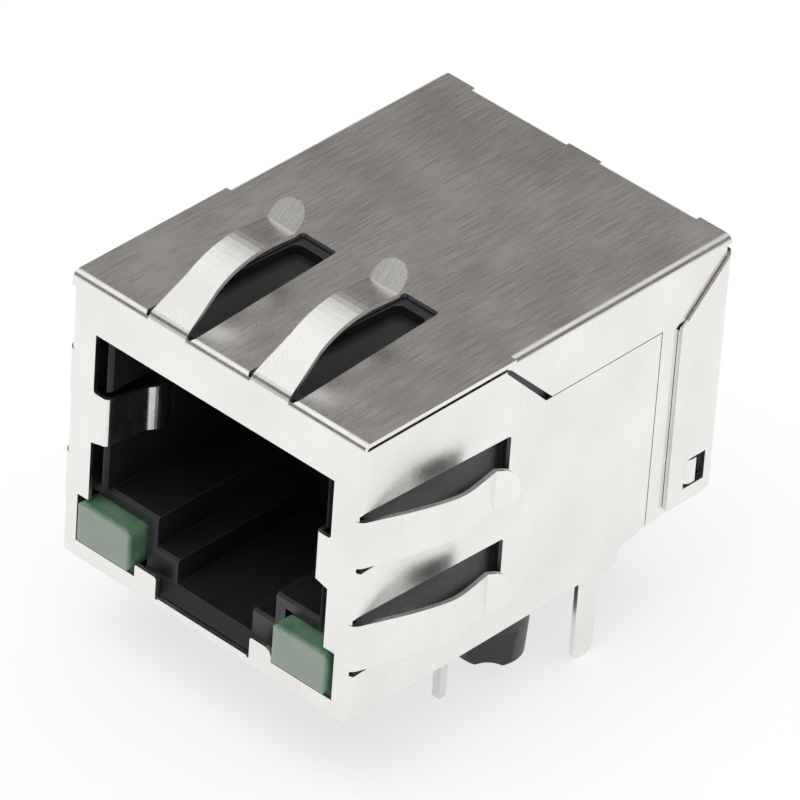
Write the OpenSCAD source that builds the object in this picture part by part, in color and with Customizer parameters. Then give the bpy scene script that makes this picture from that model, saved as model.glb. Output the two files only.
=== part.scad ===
// Single-port shielded 8P8C board jack, latch side down, with two status lamps
// and magnetics in its rear chamber. X runs to the right seen from the front,
// Y runs from the plug mouth to the rear, Z is up from the board. The origin
// lies on the board surface, midway between the two locating pegs.

/* [Shield] */
// Width across the two side panels
shield_w = 15.93; // [15.7:0.05:16.8]
// Depth from the front face to the rear cover
shield_d = 21.5; // [21.3:0.1:23]
// Height from the bottom edge of the front face to the top
shield_h = 13.6; // [13.4:0.1:15]
// Thickness of the sheet metal
sheet_t = 0.2; // [0.15:0.01:0.25]
// Outside radius of every fold
fold_r = 0.35; // [0.3:0.05:0.5]
// Clearance between the sheet and the housing inside it
shield_gap = 0.05; // [0.02:0.01:0.1]
// Height of the side flange folded down from the top
flange_h = 2.9; // [2.6:0.1:3.4]
// Depth at which the side flange starts
flange_start = 8.2; // [7.8:0.1:9]
// Length of the leg that the flange turns down into, up to the rear cover
leg_len = 3.9; // [3.6:0.1:4.1]
// Length of the flaps folded forward from the rear cover
flap_len = 2.85; // [2.6:0.05:3]
// Height of the raised rear stretch of the bottom edge
rear_lift = 1.0; // [0.8:0.1:1.4]
// Height of the bottom of the flaps above the raised stretch
flap_rise = 0.35; // [0.2:0.05:0.5]
// Width of a solder tail
tail_w = 1.18; // [1.1:0.02:1.5]
// Length of a solder tail below the board surface
tail_len = 3.7; // [3.2:0.1:4.2]
// Distance of the solder tails behind the pegs
tail_back = 3.3; // [3:0.05:3.6]

/* [Spring fingers] */
// Distance of each top finger from the middle
top_finger_x = 2.8; // [2.4:0.05:3.2]
// Height of the upper side finger above the bottom edge
upper_finger_z = 8.77; // [8.5:0.05:9]
// Height of the lower side finger above the bottom edge
lower_finger_z = 3.7; // [3.5:0.05:4.4]
// Width of a top finger at its root
top_root_w = 2.1; // [1.8:0.05:2.2]
// Width of a top finger from the end of its taper to its crease
top_tip_w = 1.6; // [1.4:0.05:1.7]
// Width of a side finger at its root
side_root_w = 2.25; // [2:0.05:2.4]
// Width of a side finger at its crease
side_tip_w = 1.9; // [1.7:0.05:2]
// Width of the slot left on each side of a top finger
top_slot = 0.28; // [0.2:0.02:0.36]
// Width of the slot left on each side of a side finger
side_slot = 0.35; // [0.25:0.05:0.45]
// Depth at which the finger windows end
window_end = 8.75; // [8.5:0.05:9]
// Height of the top fingers at the end of their ramp
top_finger_rise = 1.72; // [1.4:0.02:1.9]
// Height of the side fingers at the end of their ramp
side_finger_rise = 0.9; // [0.7:0.05:1.1]

/* [Plug port] */
// Width of the port
port_w = 11.9; // [11.8:0.05:12.2]
// Distance of the port ceiling below the top of the shield
port_roof = 2.5; // [2.3:0.05:2.6]
// Depth of the port behind the front face
port_depth = 12.65; // [12.5:0.05:13]
// Length of the block that closes the port at the rear
carrier_len = 1.75; // [1.6:0.05:1.9]
// Length of the comb in front of that block
comb_len = 0.95; // [0.8:0.05:1.1]
// Height of the port floor beside the latch channel
port_floor = 3.6; // [3.5:0.05:3.8]
// Height of the latch channel floor
latch_floor = 1.0; // [0.9:0.05:1.2]
// Width of the channel that takes the tip of the latch
latch_w = 4.2; // [4.1:0.05:4.4]
// Height of the blocks beside the tip of the latch
latch_block_top = 2.15; // [1.9:0.05:2.4]
// Width of the notch in the front face for the latch
latch_notch_w = 5.24; // [5:0.02:5.4]
// Setback of the lower front of the housing
lower_front = 0.7; // [0.5:0.05:0.9]
// Width of the grounding tabs folded into the port
ground_tab_w = 2.1; // [1.8:0.1:2.3]
// Height of the middle of the grounding tabs
ground_tab_z = 7.15; // [6.9:0.05:7.3]

/* [Status lamps] */
// Width of a lamp body
lamp_w = 3.0; // [2.8:0.05:3.1]
// Height of a lamp body
lamp_h = 2.0; // [1.8:0.05:2.1]
// Length of a lamp body
lamp_len = 6.45; // [6:0.05:6.6]
// How far a lamp stands out of the front face
lamp_proud = 0.25; // [0.1:0.05:0.4]
// Distance of each lamp from the middle
lamp_x = 5.45; // [5.4:0.01:5.5]
// Height of the lamp centres above the bottom edge of the shield
lamp_z = 1.95; // [1.85:0.05:2]
// Clearance round a lamp body in its pocket
lamp_gap = 0.15; // [0.08:0.01:0.18]
// Spacing of the two leads of a lamp
lead_pitch = 2.54; // [2.4:0.02:2.6]
// Width of a lamp lead
lead_w = 0.4; // [0.36:0.02:0.5]
// Length of the lamp leads below the board surface
lead_len = 2.65; // [2.4:0.05:3.2]
// Thickness of the wall between a lamp pocket and the port
pocket_wall = 0.5; // [0.4:0.05:0.55]

/* [Board side] */
// Gap between the board and the bottom edge of the shield
standoff = 0.25; // [0.2:0.05:0.4]
// Depth of the pegs behind the front face
peg_depth = 11.0; // [10.8:0.05:11.2]
// Distance between the two pegs
peg_pitch = 11.43; // [11.2:0.01:11.7]
// Diameter of a peg
peg_d = 3.2; // [3:0.05:3.3]
// Length of a peg below the board surface
peg_len = 2.8; // [2.2:0.1:3]
// Length of the round neck of a peg below the board surface
peg_neck = 1.0; // [0.9:0.1:1.5]
// Distance across the two flats of a peg
peg_flat = 2.4; // [2.2:0.1:2.8]
// Width of the signal pins
pin_w = 0.5; // [0.4:0.02:0.55]
// Length of the signal pins below the board surface
pin_len = 3.2; // [2.8:0.1:3.6]
// Spacing between neighbouring signal pins across the two rows
pin_pitch = 1.27; // [1.2:0.01:1.3]
// Distance between the two rows of signal pins
row_pitch = 2.54; // [2.4:0.02:2.6]
// Distance of the rear row of pins from the rear cover
row_inset = 1.61; // [1.5:0.01:1.8]

/* [Contacts] */
// Spacing of the port contacts
contact_pitch = 1.016; // [1:0.002:1.02]
// Width of a contact
contact_w = 0.42; // [0.36:0.02:0.46]
// Thickness of a contact
contact_t = 0.3; // [0.24:0.02:0.34]
// Height of the free end of a contact
contact_end_z = 8.2; // [8:0.05:8.5]
// Depth of the front bend of the contacts
contact_bend = 2.45; // [2.35:0.05:2.8]
// Height of the front bend of the contacts
contact_drop = 0.6; // [0.5:0.05:0.7]

/* [Magnetics] */
// Wall of the magnetics cup
cup_wall = 0.8; // [0.6:0.05:0.9]
// Height of the top of the magnetics cup
cup_top = 7.6; // [7.5:0.1:8]
// Clearance between a wound core and the walls of the cup
core_gap = 0.25; // [0.2:0.05:0.4]
// Bore of a toroid core as a part of its diameter
bore_part = 0.5; // [0.45:0.01:0.55]
// Thickness of a toroid core
core_t = 1.7; // [1.4:0.1:1.8]
// Diameter of the winding wire
wire_d = 0.14; // [0.1:0.02:0.18]
// Thickness of the terminal board
board_t = 1.0; // [0.8:0.1:1.2]
// Length of the capacitor across the terminal board
cap_len = 4.5; // [4:0.1:5]
// Width of the capacitor
cap_w = 2.0; // [1.6:0.1:2.2]
// Height of the capacitor on the terminal board
cap_h = 1.8; // [1.4:0.1:2]

/* [Hidden] */
$fn = 32;
contact_count = 8;
core_count = 4;
turns = 10;
arc_steps = 5;

// Sheet metal faces
half_w = shield_w / 2;
inner_x = half_w - sheet_t;
side_top = shield_h - sheet_t - 0.15;
flange_z = shield_h - flange_h;
seam = 0.04;
flap_gap = 0.02;
flap_recess = 0.07;
ear_len = 1.77;
finger_leg = 0.4;
top_taper = 2;
side_taper = 6;
flap_x = half_w - flap_recess + flap_gap + sheet_t;
flap_front = shield_d - flap_len;
flap_low = rear_lift + flap_rise;
leg_start = shield_d - leg_len;
lift_start = leg_start - 1.64;
mitre_low = [flap_front + 0.35, flange_z - 0.05];
mitre_high = [shield_d - 0.05, shield_h - 0.65];
tail_y = peg_depth + tail_back;

// Housing faces
body_x = inner_x - shield_gap;
body_front = sheet_t + shield_gap;
body_top = shield_h - sheet_t - shield_gap;
body_rear = shield_d - sheet_t - shield_gap;
port_x = port_w / 2;
port_top = shield_h - port_roof;
chamber_x = body_x - 0.8;
chamber_top = body_top - 0.85;
chamber_front = port_depth;
floor_end = chamber_front + carrier_len;
top_pocket = 0.5;
side_pocket = 0.3;
edge_ease = 0.12;
sill_z = 0.43;
rib_t = 0.2;
rib_len = 1.3;

// Lamp pockets
pocket_in = lamp_x - lamp_w / 2 - lamp_gap;
pocket_out = lamp_x + lamp_w / 2 + lamp_gap + 0.05;
pocket_low = lamp_z - lamp_h / 2 - lamp_gap;
pocket_top = lamp_z + lamp_h / 2 + lamp_gap;
mid_x = pocket_in - pocket_wall;
lamp_rear = lamp_len - lamp_proud;
lead_y = lamp_rear + 0.8;

// Rear chamber pieces
slip = 0.05;
carrier_x = chamber_x - slip;
carrier_y0 = chamber_front;
carrier_y1 = floor_end - slip;
cup_x = chamber_x - 2 * slip;
cup_y0 = floor_end;
cup_y1 = body_rear;
cup_z0 = rear_lift + 0.05;
cup_floor = cup_z0 + 1.2;
row_2 = shield_d - row_inset;
row_1 = row_2 - row_pitch;
board_z = cup_top;
board_top = board_z + board_t;
core_y = (cup_y0 + cup_y1) / 2;
wire_slack = 0.03;
core_room = min(cup_y1 - cup_y0 - 2 * cup_wall, cup_top - cup_floor);
core_d = core_room - 2 * (wire_d + wire_slack + core_gap);
core_bore = core_d * bore_part;
core_z = cup_floor + core_d / 2 + wire_d + wire_slack;
core_step = 2 * (cup_x - cup_wall) / core_count;

// Contact run
run_z = port_top + 0.25;
contact_rear = cup_y0 + cup_wall;
cap_y = cup_y1 - 0.55 - cap_w / 2;
chip_y = (contact_rear + contact_t / 2 + cap_y - cap_w / 2) / 2;

// Places the part, measured from its front face and bottom edge, over the board.
module seat() {
    translate([0, -peg_depth, standoff]) children();
}

// Extrudes an outline drawn in X and Z from depth y0 to depth y1.
module along_y(y0, y1) {
    translate([0, y1, 0]) rotate([90, 0, 0]) linear_extrude(y1 - y0) children();
}

// Extrudes an outline drawn in Y and Z from x0 to x1.
module along_x(x0, x1) {
    translate([x0, 0, 0]) rotate([90, 0, 90]) linear_extrude(x1 - x0) children();
}

module both_sides() {
    children();
    mirror([1, 0, 0]) children();
}

module box(x0, x1, y0, y1, z0, z1) {
    translate([x0, y0, z0]) cube([x1 - x0, y1 - y0, z1 - z0]);
}

// One point of the curve that rounds corner b between a and c.
function corner_point(a, b, c, reach, s) =
    let (p = b + reach * (a - b) / norm(a - b), q = b + reach * (c - b) / norm(c - b))
    (1 - s) * (1 - s) * p + 2 * s * (1 - s) * b + s * s * q;

// Path with each inner corner rounded, over one reach for all or a list of one for each.
function rounded(path, reach) = concat(
    [path[0]],
    [for (i = [1 : len(path) - 2], k = [0 : arc_steps])
        corner_point(path[i - 1], path[i], path[i + 1], is_list(reach) ? reach[i - 1] : reach,
                     k / arc_steps)],
    [path[len(path) - 1]]);

function heading(path, i) =
    let (a = path[max(i - 1, 0)], b = path[min(i + 1, len(path) - 1)])
    (b - a) / norm(b - a);

// Outline of a strip of thickness t that follows the path.
function strip(path, t) =
    let (n = len(path), side = [for (i = [0 : n - 1]) [-heading(path, i)[1], heading(path, i)[0]]])
    concat([for (i = [0 : n - 1]) path[i] + side[i] * t / 2],
           [for (i = [n - 1 : -1 : 0]) path[i] - side[i] * t / 2]);

// ---------------------------------------------------------------- shield

// Plan of a sheet folded round the front corners of a box.
module folded_u(outer_x, depth, r) {
    difference() {
        rounded_front(outer_x, 0, depth, r);
        rounded_front(outer_x - sheet_t, sheet_t, depth + 1, r - sheet_t);
    }
}

module rounded_front(x, y0, y1, r) {
    translate([-x, y0 + r]) square([2 * x, y1 - y0 - r]);
    translate([-x + r, y0]) square([2 * (x - r), r + 0.01]);
    for (s = [-1, 1]) translate([s * (x - r), y0 + r]) circle(r);
}

// Quarter fold in the plane of the outline, its corner at the origin.
module fold_section() {
    intersection() {
        difference() {
            translate([fold_r, -fold_r]) circle(fold_r);
            translate([fold_r, -fold_r]) circle(fold_r - sheet_t);
        }
        translate([0, -fold_r]) square(fold_r);
    }
}

// Side panel as seen from the side, with its cut for the flange.
module side_profile() {
    polygon([
        [-1, 0], [lift_start, 0], [lift_start + 0.02, rear_lift - 0.42],
        [lift_start + 0.1, rear_lift - 0.28], [lift_start + 0.95, rear_lift - 0.18],
        [leg_start - 0.3, rear_lift], [leg_start - seam, rear_lift],
        [leg_start - seam, flange_z - seam],
        [flange_start + 2.5, flange_z - seam], [flange_start, side_top - 0.1],
        [flange_start, side_top], [-1, side_top]]);
}

// Flange and leg folded down from the top.
module flange_profile() {
    polygon([
        [flange_start, shield_h + 1], [flange_start, shield_h - 0.25],
        [flange_start + 0.25, shield_h - 0.4],
        [flange_start + 2.85, flange_z], [leg_start, flange_z], [leg_start, rear_lift],
        [shield_d - sheet_t - 0.1, rear_lift], [shield_d - sheet_t - 0.1, shield_h - fold_r],
        [shield_d - fold_r, shield_h - fold_r], [shield_d - fold_r, shield_h + 1]]);
}

// Shallow recess of the flange and leg that the flap lies in.
module flap_recess_profile() {
    lead = 0.3;
    polygon([
        [flap_front - lead, -1], [flap_front - lead, flange_z - 0.3],
        [flap_front - 0.05, flange_z - 0.1], [mitre_low[0] - 0.07, mitre_low[1]],
        [mitre_high[0] - 0.07, mitre_high[1]], [mitre_high[0] - 0.07, shield_h - fold_r],
        [shield_d + 1, shield_h - fold_r], [shield_d + 1, -1]]);
}

module flap_profile() {
    polygon([
        [flap_front, flap_low], [flap_front, mitre_low[1] - 0.2], mitre_low, mitre_high,
        [shield_d + 1, mitre_high[1]], [shield_d + 1, flap_low]]);
}

module front_and_sides() {
    intersection() {
        linear_extrude(side_top) folded_u(half_w, leg_start, fold_r);
        along_x(-half_w - 1, half_w + 1) side_profile();
    }
    along_x(-half_w, half_w) translate([0, side_top - 0.3])
        square([sheet_t, shield_h - fold_r - side_top + 0.3]);
}

module top_sheet() {
    along_x(-half_w, half_w) {
        translate([0, shield_h]) fold_section();
        translate([fold_r, shield_h - sheet_t]) square([flange_start + 0.5 - fold_r, sheet_t]);
    }
    intersection() {
        along_y(flange_start, shield_d) top_section();
        along_x(-half_w - 1, half_w + 1) flange_profile();
    }
    // flat stretches left between the relief cuts of the rear fold
    intersection() {
        along_y(shield_d - 2 * fold_r, shield_d - 0.04) top_section();
        both_sides() box(half_w - ear_len, half_w + 1, 0, shield_d, shield_h - fold_r, shield_h + 1);
    }
    box(-0.9, 0.9, shield_d - 2 * fold_r, shield_d - 0.1, shield_h - sheet_t, shield_h);
}

// Front view section of the top sheet and its two side folds.
module top_section() {
    mirror([0, 1]) translate([0, -shield_h]) difference() {
        rounded_front(half_w, 0, shield_h, fold_r);
        rounded_front(inner_x, sheet_t, shield_h + 1, fold_r - sheet_t);
    }
}

// Rear cover: down from the top sheet, then forward as a flap on each side.
module rear_cover() {
    cover_x = half_w - 0.45;
    along_x(-cover_x, cover_x) {
        translate([shield_d, shield_h]) mirror([1, 0]) fold_section();
        translate([shield_d - sheet_t, mitre_high[1] - 1])
            square([sheet_t, shield_h - fold_r - mitre_high[1] + 1]);
    }
    intersection() {
        translate([0, shield_d, 0]) mirror([0, 1, 0])
            linear_extrude(shield_h) folded_u(flap_x, flap_len, fold_r);
        along_x(-flap_x - 1, flap_x + 1) flap_profile();
    }
}

// Square window in each flap, and the latch tab of the leg that fills its front half.
latch_y0 = flap_front + 0.95;
latch_y1 = flap_front + 2.2;
latch_z0 = 1.95;
latch_z1 = 3.35;

module latch_windows() {
    both_sides() box(inner_x - 1, flap_x + 1, latch_y0, latch_y1, latch_z0, latch_z1);
}

module latch_tab() {
    thin = sheet_t - flap_recess;
    mid = inner_x + thin / 2;
    out = flap_x - thin / 2;
    path = [[mid, latch_y0 - 0.1], [mid, latch_y0 + 0.12], [out, latch_y0 + 0.4],
            [out, latch_y0 + 0.72]];
    translate([0, 0, latch_z0 + 0.1]) linear_extrude(latch_z1 - latch_z0 - 0.2)
        polygon(strip(rounded(path, 0.1), thin));
}

// Small gap left in the flange at the foot of the mitre.
module mitre_notch() {
    both_sides() along_x(inner_x - 1, half_w + 0.01) polygon([
        [flap_front - 0.25, flange_z - 0.28], [flap_front + 0.3, flange_z - 0.02],
        [flap_front + 0.05, flange_z - 0.45]]);
}

// Plan of a finger, root at the origin, with a round end past its crease.
function finger_plan(root_w, tip_w, taper, crease, tip) = concat(
    [[-root_w / 2, -0.5], [-root_w / 2, 0], [-tip_w / 2, taper]],
    [for (a = [180 : -20 : 0])
        [tip_w / 2 * cos(a), crease + 0.3 + (tip - crease - 0.3) * sin(a)]],
    [[tip_w / 2, taper], [root_w / 2, 0], [root_w / 2, -0.5]]);

// The centre line of a finger runs up the front face, over the ramp and the crown
// to the crease, and ends in the raised tip.
function finger_path(ramp, crown, crease, tip) = let (m = sheet_t / 2)
    concat(rounded([[m, -finger_leg], [m, -0.05], ramp, crown, crease], [0.3, 0.9, 0.7]), [tip]);

// A finger that rises from the fold, along Y, standing out in Z.
module finger(path, root_w, tip_w, taper) {
    last = len(path) - 1;
    intersection() {
        along_x(-root_w, root_w) polygon(strip(path, sheet_t));
        translate([0, 0, -1.5]) linear_extrude(6)
            polygon(finger_plan(root_w, tip_w, taper, path[last - 1][0], path[last][0] - 0.04));
    }
}

module finger_window(root_w, tip_w, slot) {
    root = root_w / 2 + slot;
    end = tip_w / 2 + slot / 2;
    head = 0.12;
    translate([0, 0, -fold_r - 0.02]) linear_extrude(1)
        polygon([[-root + head, head], [-root, 0.3], [-end, window_end - 0.1],
                 [-end + 0.1, window_end], [end - 0.1, window_end], [end, window_end - 0.1],
                 [root, 0.3], [root - head, head]]);
}

module top_fingers() {
    crown = top_finger_rise + 0.31;
    path = finger_path([2.8, top_finger_rise], [4.55, crown], [6.4, crown - 0.17],
                       [7.3, crown + 0.67]);
    for (s = [-1, 1]) translate([s * top_finger_x, 0, shield_h])
        finger(path, top_root_w, top_tip_w, top_taper);
}

module side_finger_frame(z) {
    translate([half_w, 0, z]) rotate([0, 90, 0]) children();
}

module side_fingers() {
    crown = side_finger_rise + 0.43;
    path = finger_path([2.75, side_finger_rise], [4.6, crown], [6.75, crown - 0.35],
                       [7.68, crown + 0.29]);
    both_sides() for (z = [upper_finger_z, lower_finger_z])
        side_finger_frame(z) finger(path, side_root_w, side_tip_w, side_taper);
}

// Grounding tab, folded in from the edge of the mouth to a raised contact ridge.
module ground_tabs() {
    m = sheet_t / 2;
    low = ground_tab_z - ground_tab_w / 2;
    high = ground_tab_z + ground_tab_w / 2;
    path = [[-mouth_x - 0.5, m], [-port_x + 0.09, m], [-port_x + 0.33, 2.1],
            [-port_x + 0.68, 2.65], [-port_x + 0.35, 3.4]];
    both_sides() intersection() {
        translate([0, 0, low]) linear_extrude(ground_tab_w + 1)
            polygon(strip(rounded(path, [0.13, 0.12, 0.3]), sheet_t));
        along_x(-half_w, 0) polygon([
            [-1, low], [-1, high + tab_flare], [sheet_t, high + tab_flare], [2.1, high],
            [4, high], [4, low]]);
    }
}

mouth_x = port_x + 0.6;
mouth_top = port_top + 0.12;
tab_flare = 0.2;

// Openings of the front face: plug mouth, lamp windows and latch notch.
module front_openings() {
    step = ground_tab_w / 2;
    flare = step + tab_flare;
    root = port_x + 0.04;
    difference() {
        translate([-mouth_x, pocket_top - 0.05]) square([2 * mouth_x, mouth_top - pocket_top + 0.05]);
        for (s = [-1, 1]) translate([s * mouth_x, ground_tab_z]) polygon([
            [s, flare + 0.14], [0, flare + 0.14], [-s * 0.04, flare + 0.04], [-s * 0.14, flare],
            [-s * (mouth_x - root), flare], [-s * (mouth_x - root), -step],
            [0, -step - 0.15], [s, -step - 0.15]]);
    }
    translate([-pocket_out, pocket_low - 0.03]) square([2 * pocket_out, pocket_top - pocket_low]);
    translate([-latch_notch_w / 2, 0.38]) square([latch_notch_w, pocket_low]);
    for (s = [-1, 1]) translate([s * (latch_notch_w / 2 - 0.06), 0.38]) circle(0.08);
}

// Corner post left standing between each lamp window and the latch notch.
module front_posts() {
    x0 = latch_notch_w / 2;
    x1 = pocket_in + 0.02;
    top = 1.35;
    along_y(0, sheet_t) {
        polygon([
            [x0, 0.1], [x0, top - 0.08], [x0 + 0.08, top], [x1 - 0.35, top], [x1 - 0.1, top - 0.1],
            [x1, top - 0.35], [x1, 0.1]]);
        polygon([
            [-x0, 0.1], [-x0, top - 0.08], [-x0 - 0.08, top], [-x1 + 0.05, top], [-x1, top - 0.05],
            [-x1, 0.1]]);
    }
}

module solder_tails() {
    r = 0.5;
    low = -tail_len - standoff;
    both_sides() along_x(inner_x, half_w) {
        translate([tail_y - tail_w / 2, low + r]) square([tail_w, 1 - low - r]);
        translate([tail_y - tail_w / 2 + r, low]) square([tail_w - 2 * r, 1 - low]);
        for (s = [-1, 1]) translate([tail_y + s * (tail_w / 2 - r), low + r]) circle(r);
    }
}

module shield() {
    color("silver") seat() {
        difference() {
            union() {
                front_and_sides();
                difference() {
                    top_sheet();
                    both_sides() along_x(half_w - flap_recess, half_w + 1) flap_recess_profile();
                }
                rear_cover();
            }
            along_y(-1, sheet_t + 0.01) front_openings();
            for (s = [-1, 1]) translate([s * top_finger_x, 0, shield_h])
                finger_window(top_root_w, top_tip_w, top_slot);
            both_sides() for (z = [upper_finger_z, lower_finger_z])
                side_finger_frame(z) finger_window(side_root_w, side_tip_w, side_slot);
            latch_windows();
            mitre_notch();
        }
        front_posts();
        top_fingers();
        side_fingers();
        ground_tabs();
        both_sides() latch_tab();
        solder_tails();
    }
}

// ---------------------------------------------------------------- housing

// Tapered hollow in the housing that a finger presses into.
module finger_hollow(root_w, tip_w, end, depth, ease) {
    root = root_w / 2 + 0.2;
    half = tip_w / 2 + 0.05;
    translate([0, 0, -depth]) linear_extrude(depth + 1) polygon([
        [-root, 0.9], [-half, end - ease], [-half + ease, end], [half - ease, end],
        [half, end - ease], [root, 0.9]]);
}

// Locating peg with a round neck and two flats that face the front corners.
module peg() {
    low = -standoff - peg_len;
    neck = -standoff - peg_neck;
    end_d = peg_d - 0.2;
    ease = 0.15;
    groove_r = 1.2;
    translate([0, 0, neck]) cylinder(d = peg_d, h = 0.3 - neck);
    difference() {
        union() {
            translate([0, 0, low + ease]) cylinder(d1 = end_d, d2 = peg_d, h = neck - low - ease);
            translate([0, 0, low]) cylinder(d1 = end_d - 2 * ease, d2 = end_d, h = ease);
        }
        for (a = [-45, 135]) rotate(a) translate([peg_flat / 2, -peg_d / 2, low - 1])
            cube([peg_d, peg_d, neck - low + 1 - 0.01]);
        translate([0, 0, low - groove_r + 0.12]) rotate(-45) rotate([0, 90, 0])
            cylinder(r = groove_r, h = 2 * peg_d, center = true);
    }
}

// Outer block of the housing, its edges eased where the sheet folds round them.
module body_block() {
    ease = 0.3;
    intersection() {
        translate([0, 0, 0.02]) linear_extrude(body_top - 0.02) polygon([
            [-body_x, body_front + ease], [-body_x + ease, body_front], [body_x - ease, body_front],
            [body_x, body_front + ease], [body_x, body_rear], [-body_x, body_rear]]);
        along_x(-body_x, body_x) polygon([
            [body_front, 0], [body_rear, 0], [body_rear, body_top - ease], [body_rear - ease, body_top],
            [body_front + ease, body_top], [body_front, body_top - ease]]);
    }
}

// Openings of the housing seen from the front.
module port_section() {
    translate([-port_x, port_floor]) square([port_w, port_top - port_floor]);
}

module latch_section() {
    translate([-mid_x, latch_block_top]) square([2 * mid_x, port_floor - latch_block_top + 0.1]);
    translate([-latch_w / 2, latch_floor]) square([latch_w, port_floor - latch_floor]);
}

// Eased front edge of a ledge whose top is at height z.
module ledge_edge(z) {
    polygon([[lower_front - 0.01, z + 0.01], [lower_front + edge_ease, z + 0.01],
             [lower_front + edge_ease, z], [lower_front, z - edge_ease],
             [lower_front - 0.01, z - edge_ease]]);
}

module housing() {
    color("#26242a") seat() difference() {
        union() {
            body_block();
            both_sides() translate([peg_pitch / 2, peg_depth, 0]) peg();
            both_sides() for (y = [4.2, 14.4])
                translate([body_x - 1.0, y, -standoff]) cylinder(d = 1.3, h = standoff + 0.3);
        }
        // lower front stands back behind the lamps, and slopes down to a sill at the latch notch
        both_sides() box(pocket_in, pocket_out, -1, lower_front, -1, port_floor);
        along_x(-pocket_in, pocket_in) polygon([
            [-1, port_floor + edge_ease], [lower_front + edge_ease, port_floor + edge_ease],
            [lower_front + edge_ease, port_floor], [lower_front, port_floor - edge_ease],
            [lower_front, latch_floor], [body_front, sill_z], [-1, sill_z]]);
        both_sides() along_x(pocket_in - 0.01, pocket_out) ledge_edge(port_floor);
        along_x(-mid_x, mid_x) ledge_edge(latch_block_top);
        along_y(-1, chamber_front + 1) port_section();
        along_y(-1, 9) latch_section();
        // lead-in at the two side walls, each a rib with a slot beside it
        both_sides() translate([0, 0, port_floor]) linear_extrude(port_top - port_floor) {
            polygon([[port_x - 0.1, 0], [port_x + 0.11, 0], [port_x + 0.11, body_front],
                     [port_x, body_front + 0.25], [port_x - 0.1, body_front + 0.25]]);
            polygon([[port_x + 0.11, -1], [port_x + 0.11, body_front],
                     [port_x + rib_t, body_front + 0.2], [port_x + rib_t, rib_len],
                     [port_x + 0.8, rib_len], [port_x + 0.8, -1]]);
        }
        // room for the grounding tabs
        both_sides() box(port_x - 0.1, port_x + 0.5, -1, 4.1, ground_tab_z - ground_tab_w / 2 - 0.15,
                         ground_tab_z + ground_tab_w / 2 + 0.35);
        // lamp pockets and the bays for their leads
        both_sides() box(pocket_in, pocket_out, -1, lamp_rear + 0.05, pocket_low, pocket_top);
        both_sides() box(pocket_in, pocket_out, lamp_rear - 0.2, lead_y + 0.5, -1, pocket_top);
        // comb that keeps the contacts apart
        for (i = [1 : contact_count])
            box(contact_x(i) - 0.3, contact_x(i) + 0.3, 2.0, chamber_front + 1,
                port_top - 0.1, run_z + contact_t / 2 + 0.1);
        // rear chamber, open to the rear and below
        box(-chamber_x, chamber_x, chamber_front, shield_d, latch_floor, chamber_top);
        box(-chamber_x, chamber_x, floor_end, shield_d, -1, chamber_top);
        // raised rear stretch of the bottom
        box(-shield_w, shield_w, lift_start, shield_d, -1, rear_lift + 0.05);
        // hollows behind the spring fingers
        for (s = [-1, 1]) translate([s * top_finger_x, 0, body_top])
            finger_hollow(top_root_w, top_tip_w, window_end - 0.45, top_pocket, 0.25);
        both_sides() for (z = [upper_finger_z, lower_finger_z])
            translate([body_x, 0, z]) rotate([0, 90, 0])
                finger_hollow(side_root_w, side_tip_w, window_end + 0.1, side_pocket, 0.08);
    }
}

// ---------------------------------------------------------------- contacts

function contact_x(i) = (i - (contact_count + 1) / 2) * contact_pitch;

module contact(i) {
    bend_z = run_z - contact_drop;
    path = [[contact_rear, board_top], [contact_rear, run_z],
            [contact_bend + 0.75 * contact_drop, run_z], [contact_bend, bend_z],
            [contact_bend + 1.25 * contact_drop, bend_z - 0.65 * contact_drop],
            [carrier_y0 - 0.8 * comb_len, contact_end_z]];
    color("gold") seat() along_x(contact_x(i) - contact_w / 2, contact_x(i) + contact_w / 2)
        polygon(strip(rounded(path, 0.3), contact_t));
}

// Block that closes the port at the rear and holds the contacts in two combs.
module contact_carrier() {
    comb_y = carrier_y0 - comb_len;
    color("#2c2a30") seat() difference() {
        union() {
            box(-carrier_x, carrier_x, carrier_y0, carrier_y1, latch_floor + 0.02, chamber_top - slip);
            box(-port_x + 0.6, port_x - 0.6, comb_y, carrier_y0 + 0.1, contact_end_z - 1,
                contact_end_z + 1);
        }
        for (i = [1 : contact_count]) {
            box(contact_x(i) - 0.3, contact_x(i) + 0.3, carrier_y0 - 1, carrier_y1 + 1,
                run_z - contact_t / 2 - 0.05, chamber_top + 1);
            box(contact_x(i) - 0.3, contact_x(i) + 0.3, comb_y - 1, carrier_y0 - 0.1,
                contact_end_z - 0.6, contact_end_z + 1.1);
        }
    }
}

// ---------------------------------------------------------------- pins and lamps

module pin_outline(w, end_w, point, low, high) {
    polygon([[-w / 2, high], [-w / 2, low + point], [-end_w / 2, low], [end_w / 2, low],
             [w / 2, low + point], [w / 2, high]]);
}

// Square pin, narrowed to end_w over the last stretch of its lower end.
module square_pin(w, end_w, point, low, high) {
    intersection() {
        along_x(-w / 2, w / 2) pin_outline(w, end_w, point, low, high);
        along_y(-w / 2, w / 2) pin_outline(w, end_w, point, low, high);
    }
}

function pin_x(i) = (i - (contact_count + 1) / 2) * pin_pitch;
function pin_y(i) = i % 2 == 1 ? row_1 : row_2;

module signal_pin(i) {
    color("gainsboro") seat() translate([pin_x(i), pin_y(i), 0])
        square_pin(pin_w, pin_w / 2, pin_w, -standoff - pin_len, cup_floor);
}

function lead_x(i) = let (side = i <= 2 ? -1 : 1, s = i % 2 == 1 ? -1 : 1)
    side * lamp_x + s * lead_pitch / 2;

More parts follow.
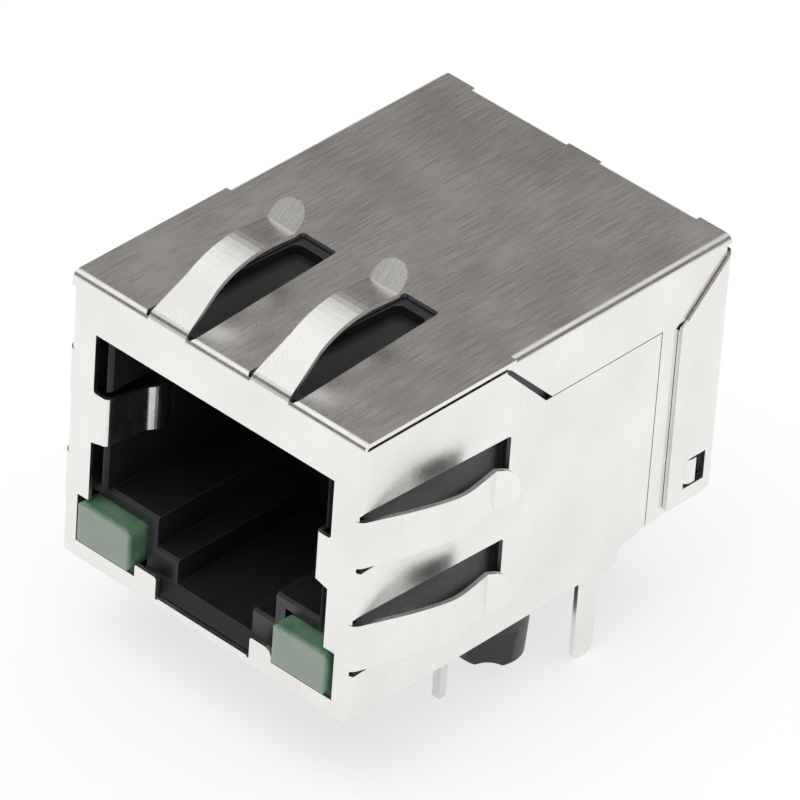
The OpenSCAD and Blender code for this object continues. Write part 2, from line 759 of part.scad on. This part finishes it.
// Lead out of the back of a lamp, folded down through the board.
module lamp_lead(i) {
    path = [[lamp_rear, lamp_z], [lead_y, lamp_z], [lead_y, -0.5]];
    color("gainsboro") seat() translate([lead_x(i), 0, 0]) {
        along_x(-lead_w / 2, lead_w / 2) polygon(strip(rounded(path, lead_w), lead_w));
        translate([0, lead_y, 0])
            square_pin(lead_w, 0.8 * lead_w, 0.2 * lead_w, -standoff - lead_len, 0);
    }
}

// Moulded lamp body with rounded long edges and a rounded front.
module lamp(side) {
    edge = 0.3;
    nose = 0.2;
    color("#8fc79a") seat() translate([side * lamp_x, 0, lamp_z]) intersection() {
        along_y(-lamp_proud, lamp_rear) {
            square([lamp_w - 2 * edge, lamp_h], center = true);
            square([lamp_w, lamp_h - 2 * edge], center = true);
            for (sx = [-1, 1], sz = [-1, 1])
                translate([sx * (lamp_w / 2 - edge), sz * (lamp_h / 2 - edge)]) circle(edge);
        }
        translate([0, 0, -lamp_h]) linear_extrude(2 * lamp_h)
            rounded_front(lamp_w / 2, -lamp_proud, lamp_rear, nose);
        rotate([0, 90, 0]) translate([0, 0, -lamp_w]) linear_extrude(2 * lamp_w)
            rounded_front(lamp_h / 2, -lamp_proud, lamp_rear, nose);
    }
}

// ---------------------------------------------------------------- magnetics

module magnetics_cup() {
    hole = pin_w / 2 + 0.02;
    color("#2c2a30") seat() difference() {
        box(-cup_x, cup_x, cup_y0, cup_y1, cup_z0, cup_top);
        box(-cup_x + cup_wall, cup_x - cup_wall, cup_y0 + cup_wall, cup_y1 - cup_wall,
            cup_floor, cup_top + 1);
        for (i = [1 : contact_count])
            box(pin_x(i) - hole, pin_x(i) + hole, pin_y(i) - hole, pin_y(i) + hole, -1, cup_floor + 1);
    }
}

function core_x(i) = (i - (core_count + 1) / 2) * core_step;

module at_core(i) {
    translate([core_x(i), core_y, core_z]) rotate([0, 90, 0]) children();
}

module core(i) {
    color("#5b5f66") seat() at_core(i) difference() {
        cylinder(d = core_d, h = core_t, center = true);
        cylinder(d = core_bore, h = core_t + 1, center = true);
    }
}

// Turns of wire, each a closed frame round the section of the ring.
module winding(i) {
    ring_w = (core_d - core_bore) / 2;
    color("chocolate") seat() at_core(i)
        for (k = [0 : turns - 1]) rotate(k * 360 / turns + 180 / turns)
            translate([(core_d + core_bore) / 4, 0, 0]) difference() {
                cube([ring_w + 2 * (wire_slack + wire_d), wire_d, core_t + 2 * (wire_slack + wire_d)],
                     center = true);
                cube([ring_w + 2 * wire_slack, 1, core_t + 2 * wire_slack], center = true);
            }
}

module terminal_board() {
    color("darkgreen") seat() box(-cup_x, cup_x, cup_y0, cup_y1, board_z, board_top);
}

// Chip part with a metal cap on each end of its body.
module chip(x, y, size) {
    translate([x, y, board_top + size[2] / 2]) {
        cube([size[0] - 0.6, size[1] - 0.06, size[2] - 0.06], center = true);
        for (s = [-1, 1]) translate([s * (size[0] / 2 - 0.2), 0, 0])
            cube([0.4, size[1], size[2]], center = true);
    }
}

module capacitor() {
    color("tan") seat() chip(0, cap_y, [cap_len, cap_w, cap_h]);
}

module resistor(i) {
    color("#222222") seat() chip(core_x(i), chip_y, [1.6, 0.8, 0.5]);
}

shield();
housing();
contact_carrier();
magnetics_cup();
terminal_board();
capacitor();
lamp(-1);  // lamp_left
lamp(1);  // lamp_right
for (i = [1 : 4]) lamp_lead(i);
for (i = [1 : contact_count]) contact(i);
for (i = [1 : contact_count]) signal_pin(i);
for (i = [1 : core_count]) core(i);
for (i = [1 : core_count]) winding(i);
for (i = [1 : core_count]) resistor(i);
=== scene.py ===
# Shielded 8P8C board jack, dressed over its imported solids. Metres throughout.
import math
import bpy
from mathutils import Matrix, Vector


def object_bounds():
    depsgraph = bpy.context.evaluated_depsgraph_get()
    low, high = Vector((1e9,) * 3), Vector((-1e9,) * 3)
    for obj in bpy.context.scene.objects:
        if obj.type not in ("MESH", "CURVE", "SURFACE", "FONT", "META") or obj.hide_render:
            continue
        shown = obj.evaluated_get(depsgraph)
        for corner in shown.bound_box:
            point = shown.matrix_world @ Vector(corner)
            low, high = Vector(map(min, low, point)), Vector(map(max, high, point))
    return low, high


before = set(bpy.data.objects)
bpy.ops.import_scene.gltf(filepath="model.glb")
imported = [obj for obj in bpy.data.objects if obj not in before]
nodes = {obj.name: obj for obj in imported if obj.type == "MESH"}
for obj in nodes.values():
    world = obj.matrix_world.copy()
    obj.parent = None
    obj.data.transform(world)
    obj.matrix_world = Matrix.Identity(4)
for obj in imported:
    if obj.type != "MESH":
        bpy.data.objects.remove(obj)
solid_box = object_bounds()

# ---------------------------------------------------------------- camera
# A long lens looks down on the front right corner of the jack. It is turned
# slightly about its own axis, as it was held.
turn = math.radians(40.963)
tilt = math.radians(35.749)
roll = math.radians(4.157)
sight = Vector((-math.sin(turn) * math.cos(tilt), math.cos(turn) * math.cos(tilt), -math.sin(tilt)))
level = sight.cross(Vector((0, 0, 1))).normalized()
upright = level.cross(sight)
cam_right = level * math.cos(roll) + upright * math.sin(roll)
cam_up = -level * math.sin(roll) + upright * math.cos(roll)
lens = bpy.data.cameras.new("camera")
lens.lens = 413.97
lens.sensor_width = 36
lens.clip_start = 0.01
camera = bpy.data.objects.new("camera", lens)
bpy.context.scene.collection.objects.link(camera)
placed = Matrix((cam_right, cam_up, -sight)).transposed().to_4x4()
placed.translation = Vector((0.197382, -0.227291, 0.223203))
camera.matrix_world = placed
bpy.context.scene.camera = camera
bpy.context.scene.view_settings.view_transform = "Standard"


# ---------------------------------------------------------------- table and light
# The jack stands on a plain white table under a wide white ceiling panel, with
# grey walls around. The table shows white, and keeps the shadow.
def add_node(tree, kind, settings=(), **inputs):
    """One shader node. Underscores in an input's name stand for spaces; a socket is linked."""
    new = tree.nodes.new(kind)
    for name, value in dict(settings).items():
        setattr(new, name, value)
    for name, value in inputs.items():
        key = int(name[1:]) if name[0] == "i" and name[1:].isdigit() else name.replace("_", " ")
        if isinstance(value, bpy.types.NodeSocket):
            tree.links.new(value, new.inputs[key])
        else:
            new.inputs[key].default_value = value
    return new


def new_material(name):
    made = bpy.data.materials.new(name)
    made.use_nodes = True
    tree = made.node_tree
    tree.nodes.clear()
    return made, tree, tree.nodes.new("ShaderNodeOutputMaterial")


table_mat, tree, out = new_material("white_table")
path = tree.nodes.new("ShaderNodeLightPath")
seen = add_node(tree, "ShaderNodeMath", {"operation": "MAXIMUM"},
                i0=path.outputs["Is Camera Ray"], i1=path.outputs["Is Glossy Ray"])
seen = add_node(tree, "ShaderNodeMath", {"operation": "MAXIMUM"},
                i0=seen.outputs[0], i1=path.outputs["Is Transmission Ray"])
plain = add_node(tree, "ShaderNodeBsdfDiffuse", Color=(0.8, 0.8, 0.8, 1))
dim = add_node(tree, "ShaderNodeBsdfDiffuse", Color=(0.4, 0.4, 0.4, 1))
glow = add_node(tree, "ShaderNodeEmission", Color=(1, 1, 1, 1), Strength=0.72)
lit = add_node(tree, "ShaderNodeAddShader", i0=dim.outputs[0], i1=glow.outputs[0])
both = add_node(tree, "ShaderNodeMixShader", i0=seen.outputs[0], i1=plain.outputs[0], i2=lit.outputs[0])
tree.links.new(both.outputs[0], out.inputs["Surface"])

table_gap = 0.00002
table_z = solid_box[0][2] - table_gap
half_table = 1.2
table_mesh = bpy.data.meshes.new("table")
table_mesh.from_pydata([(-half_table, -half_table, table_z), (half_table, -half_table, table_z),
                        (half_table, half_table, table_z), (-half_table, half_table, table_z)],
                       [], [(0, 1, 2, 3)])
table = bpy.data.objects.new("table", table_mesh)
table_mesh.materials.append(table_mat)
bpy.context.scene.collection.objects.link(table)

room = bpy.data.worlds.new("room")
room.use_nodes = True
bpy.context.scene.world = room
tree = room.node_tree
tree.nodes.clear()
where = tree.nodes.new("ShaderNodeTexCoord")
parts = add_node(tree, "ShaderNodeSeparateXYZ", i0=where.outputs["Generated"])
walls = add_node(tree, "ShaderNodeValToRGB", i0=parts.outputs["Z"])
band = walls.color_ramp
band.elements[0].position = 0.0
band.elements[0].color = (1, 1, 1, 1)
band.elements[1].position = 1.0
band.elements[1].color = (1.0, 1.0, 1.0, 1)
for height, shade in ((0.12, (0.8, 0.8, 0.8)), (0.32, (0.16, 0.145, 0.13)),
                      (0.64, (0.13, 0.12, 0.11)), (0.76, (1.0, 1.0, 1.0))):
    stop = band.elements.new(height)
    stop.color = (*shade, 1)
sky = add_node(tree, "ShaderNodeBackground", i0=walls.outputs["Color"], Strength=1.0)
end = tree.nodes.new("ShaderNodeOutputWorld")
tree.links.new(sky.outputs[0], end.inputs["Surface"])


lit_height = 0.004


def panel(name, place, size, power):
    """A soft square lamp that faces the jack."""
    lamp = bpy.data.lights.new(name, "AREA")
    lamp.energy = power
    lamp.size = size
    stand = bpy.data.objects.new(name, lamp)
    stand.location = place
    aim = Vector((0, 0, lit_height)) - Vector(place)
    stand.rotation_euler = aim.to_track_quat("-Z", "Y").to_euler()
    bpy.context.scene.collection.objects.link(stand)


panel("ceiling_panel", (-0.1, -0.3, 0.75), 0.5, 1.0)


# ---------------------------------------------------------------- shield
# One sheet of nickel-plated brass, stamped, folded round the moulding and held
# by its solder tails. Its plate is semi-bright and finely grained.
def grain(tree, coords, scale, detail=3.0, rough=0.55):
    return add_node(tree, "ShaderNodeTexNoise", Vector=coords, Scale=scale, Detail=detail,
                    Roughness=rough).outputs["Fac"]


def spread(tree, value, low, high, to_low, to_high):
    return add_node(tree, "ShaderNodeMapRange", i0=value, i1=low, i2=high, i3=to_low,
                    i4=to_high).outputs[0]


def blend_colour(tree, amount, first, second):
    mixed = add_node(tree, "ShaderNodeMix", {"data_type": "RGBA"}, i0=amount)
    for index, value in ((6, first), (7, second)):
        if isinstance(value, bpy.types.NodeSocket):
            tree.links.new(value, mixed.inputs[index])
        else:
            mixed.inputs[index].default_value = value
    return mixed.outputs[2]


def math_of(tree, how, first, second=0.5):
    return add_node(tree, "ShaderNodeMath", {"operation": how}, i0=first, i1=second).outputs[0]


def edge_mask(tree, radius):
    """1 near the sharp edges of a piece, 0 on its flat faces."""
    soft = add_node(tree, "ShaderNodeBevel", {"samples": 6}, Radius=radius)
    flat = tree.nodes.new("ShaderNodeNewGeometry")
    near = add_node(tree, "ShaderNodeVectorMath", {"operation": "DOT_PRODUCT"},
                    i0=soft.outputs[0], i1=flat.outputs["Normal"]).outputs["Value"]
    return spread(tree, near, 0.995, 0.85, 0.0, 1.0)


nickel, tree, out = new_material("shield_sheet")
coords = tree.nodes.new("ShaderNodeTexCoord").outputs["Object"]
fine = grain(tree, coords, 9000, 2.0, 0.6)
cloudy = grain(tree, coords, 260, 3.0, 0.5)
rolled = grain(tree, add_node(tree, "ShaderNodeMapping", i0=coords, Scale=(9000, 500, 500)).outputs[0],
               1.0, 2.0, 0.6)
edges = edge_mask(tree, 0.00006)
plate = blend_colour(tree, spread(tree, cloudy, 0.35, 0.65, 0.0, 1.0), (0.88, 0.872, 0.852, 1),
                     (0.84, 0.83, 0.81, 1))
plate = blend_colour(tree, math_of(tree, "MULTIPLY", edges, 0.35), plate, (0.62, 0.55, 0.48, 1))
speck = spread(tree, fine, 0.66, 0.72, 0.0, 0.35)
plate = blend_colour(tree, speck, plate, (0.5, 0.48, 0.45, 1))
matt = spread(tree, math_of(tree, "ADD", math_of(tree, "MULTIPLY", cloudy, 0.5),
                            math_of(tree, "MULTIPLY", rolled, 0.5)), 0.3, 0.7, 0.2, 0.34)
height = math_of(tree, "ADD", math_of(tree, "MULTIPLY", fine, 0.7), math_of(tree, "MULTIPLY", rolled, 0.3))
bumped = add_node(tree, "ShaderNodeBump", Height=height, Strength=0.35, Distance=0.000008)
skin = add_node(tree, "ShaderNodeBsdfPrincipled", Base_Color=plate, Metallic=1.0, Roughness=matt,
                Normal=bumped.outputs[0])
tree.links.new(skin.outputs[0], out.inputs["Surface"])


def dress(names, material):
    for name in names:
        nodes[name].data.materials.clear()
        nodes[name].data.materials.append(material)


dress(["shield"], nickel)

# ---------------------------------------------------------------- housing, carrier and cup
# Black glass-filled plastic, injection moulded. The housing slides into the
# shield from below, with the contact carrier and the magnetics cup behind it.
black, tree, out = new_material("black_moulding")
coords = tree.nodes.new("ShaderNodeTexCoord").outputs["Object"]
fibre = grain(tree, coords, 5200, 3.0, 0.65)
flow = grain(tree, coords, 420, 3.0, 0.5)
edges = edge_mask(tree, 0.00008)
mould_and_painted_edge_light = blend_colour(tree, spread(tree, flow, 0.3, 0.7, 0.0, 1.0), (0.014, 0.013, 0.018, 1),
                     (0.024, 0.022, 0.029, 1))
# Painted highlight: sharp edges are coloured lighter, standing in for the light they would catch.
mould_and_painted_edge_light = blend_colour(tree, math_of(tree, "MULTIPLY", edges, 0.8), mould_and_painted_edge_light, (0.10, 0.095, 0.11, 1))
matt = spread(tree, fibre, 0.3, 0.7, 0.34, 0.5)
bumped = add_node(tree, "ShaderNodeBump", Height=fibre, Strength=0.4, Distance=0.000012)
skin = add_node(tree, "ShaderNodeBsdfPrincipled", Base_Color=mould_and_painted_edge_light, Roughness=matt,
                Normal=bumped.outputs[0])
skin.inputs["Specular IOR Level"].default_value = 0.7
tree.links.new(skin.outputs[0], out.inputs["Surface"])
dress(["housing", "contact_carrier", "magnetics_cup"], black)

# ---------------------------------------------------------------- status lamps
# Two rectangular lamps moulded in diffused green epoxy, pushed into the pockets
# below the port. Faces turned to the front get a painted glow, paler than the top and sides.
lamp_mat, tree, out = new_material("lamp_green")
coords = tree.nodes.new("ShaderNodeTexCoord").outputs["Object"]
surface = tree.nodes.new("ShaderNodeNewGeometry")
facing = add_node(tree, "ShaderNodeSeparateXYZ", i0=surface.outputs["True Normal"])
front = spread(tree, facing.outputs["Y"], -0.55, -0.95, 0.0, 1.0)
haze = grain(tree, coords, 900, 3.0, 0.5)
# Painted light: faces turned to the front are coloured paler than the top and sides.
epoxy_and_painted_glow = blend_colour(tree, front, (0.10, 0.26, 0.14, 1), (0.40, 0.47, 0.42, 1))
epoxy_and_painted_glow = blend_colour(tree, spread(tree, haze, 0.35, 0.7, 0.0, 0.35), epoxy_and_painted_glow, (0.5, 0.62, 0.5, 1))
skin = add_node(tree, "ShaderNodeBsdfPrincipled", Base_Color=epoxy_and_painted_glow, Roughness=0.32)
skin.inputs["Subsurface Weight"].default_value = 0.25
skin.inputs["Subsurface Radius"].default_value = (0.4, 1.0, 0.5)
skin.inputs["Subsurface Scale"].default_value = 0.0006
tree.links.new(skin.outputs[0], out.inputs["Surface"])
dress(["lamp_left", "lamp_right"], lamp_mat)

# ---------------------------------------------------------------- lamp leads and signal pins
# Square copper-alloy wire with matt tin, cut to length. The lamp leads are bent
# down behind the lamps; the signal pins stand in the floor of the cup.
tin, tree, out = new_material("tinned_pin")
coords = tree.nodes.new("ShaderNodeTexCoord").outputs["Object"]
crystal = grain(tree, coords, 6500, 3.0, 0.6)
drawn = grain(tree, add_node(tree, "ShaderNodeMapping", i0=coords, Scale=(7000, 7000, 500)).outputs[0],
              1.0, 2.0, 0.5)
coat = blend_colour(tree, spread(tree, crystal, 0.3, 0.7, 0.0, 1.0), (0.80, 0.795, 0.785, 1),
                    (0.70, 0.695, 0.68, 1))
matt = spread(tree, drawn, 0.3, 0.7, 0.28, 0.42)
bumped = add_node(tree, "ShaderNodeBump", Height=drawn, Strength=0.3, Distance=0.00001)
skin = add_node(tree, "ShaderNodeBsdfPrincipled", Base_Color=coat, Metallic=1.0, Roughness=matt,
                Normal=bumped.outputs[0])
tree.links.new(skin.outputs[0], out.inputs["Surface"])
dress(["lamp_lead_%d" % i for i in range(1, 5)] + ["signal_pin_%d" % i for i in range(1, 9)], tin)

# ---------------------------------------------------------------- spring contacts
# Eight phosphor-bronze strips bent back over the plug, gold plated where the
# plug wipes them.
gold, tree, out = new_material("contact_gold")
coords = tree.nodes.new("ShaderNodeTexCoord").outputs["Object"]
wiped = grain(tree, add_node(tree, "ShaderNodeMapping", i0=coords, Scale=(9000, 700, 700)).outputs[0],
              1.0, 2.0, 0.5)
leaf = blend_colour(tree, spread(tree, wiped, 0.3, 0.7, 0.0, 1.0), (0.86, 0.66, 0.30, 1),
                    (0.76, 0.56, 0.24, 1))
matt = spread(tree, wiped, 0.3, 0.7, 0.2, 0.32)
bumped = add_node(tree, "ShaderNodeBump", Height=wiped, Strength=0.25, Distance=0.000008)
skin = add_node(tree, "ShaderNodeBsdfPrincipled", Base_Color=leaf, Metallic=1.0, Roughness=matt,
                Normal=bumped.outputs[0])
tree.links.new(skin.outputs[0], out.inputs["Surface"])
dress(["contact_%d" % i for i in range(1, 9)], gold)

# ---------------------------------------------------------------- terminal board
# A small glass-epoxy board that closes the cup; its weave shows faintly
# through the green mask.
laminate, tree, out = new_material("terminal_laminate")
coords = tree.nodes.new("ShaderNodeTexCoord").outputs["Object"]
weave = add_node(tree, "ShaderNodeTexChecker", Vector=coords, Scale=2400)
tint = blend_colour(tree, spread(tree, grain(tree, coords, 700), 0.3, 0.7, 0.0, 1.0),
                    (0.05, 0.24, 0.11, 1), (0.07, 0.30, 0.14, 1))
matt = spread(tree, weave.outputs["Fac"], 0.0, 1.0, 0.3, 0.38)
bumped = add_node(tree, "ShaderNodeBump", Height=weave.outputs["Fac"], Strength=0.2, Distance=0.000008)
skin = add_node(tree, "ShaderNodeBsdfPrincipled", Base_Color=tint, Roughness=matt,
                Normal=bumped.outputs[0])
tree.links.new(skin.outputs[0], out.inputs["Surface"])
dress(["terminal_board"], laminate)


# ---------------------------------------------------------------- cores, windings and chips
# Ferrite rings wound with enamelled wire in the cup, with a ceramic capacitor
# and four chip resistors soldered on the terminal board above them.
def speckled(name, first, second, scale, rough, metal=0.0):
    made, tree, out = new_material(name)
    coords = tree.nodes.new("ShaderNodeTexCoord").outputs["Object"]
    mottle = grain(tree, coords, scale, 3.0, 0.6)
    tint = blend_colour(tree, spread(tree, mottle, 0.3, 0.7, 0.0, 1.0), (*first, 1), (*second, 1))
    matt = spread(tree, mottle, 0.3, 0.7, rough - 0.06, rough + 0.08)
    bumped = add_node(tree, "ShaderNodeBump", Height=mottle, Strength=0.3, Distance=0.00001)
    skin = add_node(tree, "ShaderNodeBsdfPrincipled", Base_Color=tint, Metallic=metal, Roughness=matt,
                    Normal=bumped.outputs[0])
    tree.links.new(skin.outputs[0], out.inputs["Surface"])
    return made


dress(["core_%d" % i for i in range(1, 5)],
      speckled("ferrite", (0.07, 0.07, 0.075), (0.12, 0.12, 0.125), 5000, 0.6))
dress(["winding_%d" % i for i in range(1, 5)],
      speckled("winding_wire", (0.60, 0.27, 0.11), (0.5, 0.2, 0.08), 3000, 0.3, 1.0))
dress(["capacitor"], speckled("chip_ceramic", (0.62, 0.52, 0.40), (0.52, 0.42, 0.32), 4000, 0.5))
dress(["resistor_%d" % i for i in range(1, 5)],
      speckled("chip_resistor", (0.03, 0.03, 0.03), (0.06, 0.06, 0.06), 6000, 0.4))
